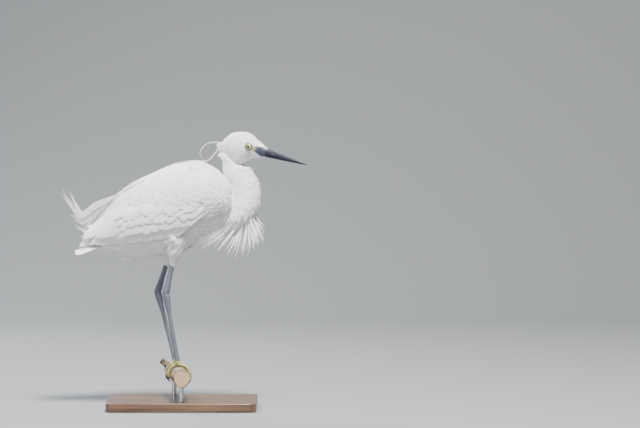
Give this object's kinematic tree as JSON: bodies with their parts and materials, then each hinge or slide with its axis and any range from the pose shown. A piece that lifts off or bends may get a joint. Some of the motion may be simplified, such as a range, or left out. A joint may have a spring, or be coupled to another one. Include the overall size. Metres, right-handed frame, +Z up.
{
  "type": "little egret model",
  "caption": "Life-size still model of a little egret in breeding plumage, perched on a cut branch over a flat display base.",
  "frame": {"origin": "middle of the display base's underside, where it stands", "axes": "+X the way the bird faces, +Y its left side, +Z up"},
  "size_m": [0.3878, 0.1528, 0.4299],
  "materials": {
    "plumage": "soft white feather",
    "bill": "satin blue-black horn",
    "eye": "wet gloss, pale yellow iris",
    "leg_skin": "satin blue-grey scaled skin",
    "foot_skin": "satin greenish yellow scaled skin",
    "bark": "rough bark with yellow lichen",
    "rod_steel": "brushed",
    "base_wood": "satin dark hardwood"
  },
  "bodies": {
    "root": {"head": "plumage", "neck": "plumage", "torso": "plumage", "tail": "plumage", "wing_right": "plumage", "wing_left": "plumage", "thigh_right": "plumage", "thigh_left": "plumage", "bill_upper": "bill", "bill_lower": "bill", "eye_right": "eye", "eye_left": "eye", "shank_right": "leg_skin", "shank_left": "leg_skin", "tarsus_right": "leg_skin", "tarsus_left": "leg_skin", "foot_right": "foot_skin", "foot_left": "foot_skin", "perch": "bark", "stand_rod_near": "rod_steel", "stand_rod_far": "rod_steel", "stand_base": "base_wood"}
  },
  "joints": []
}
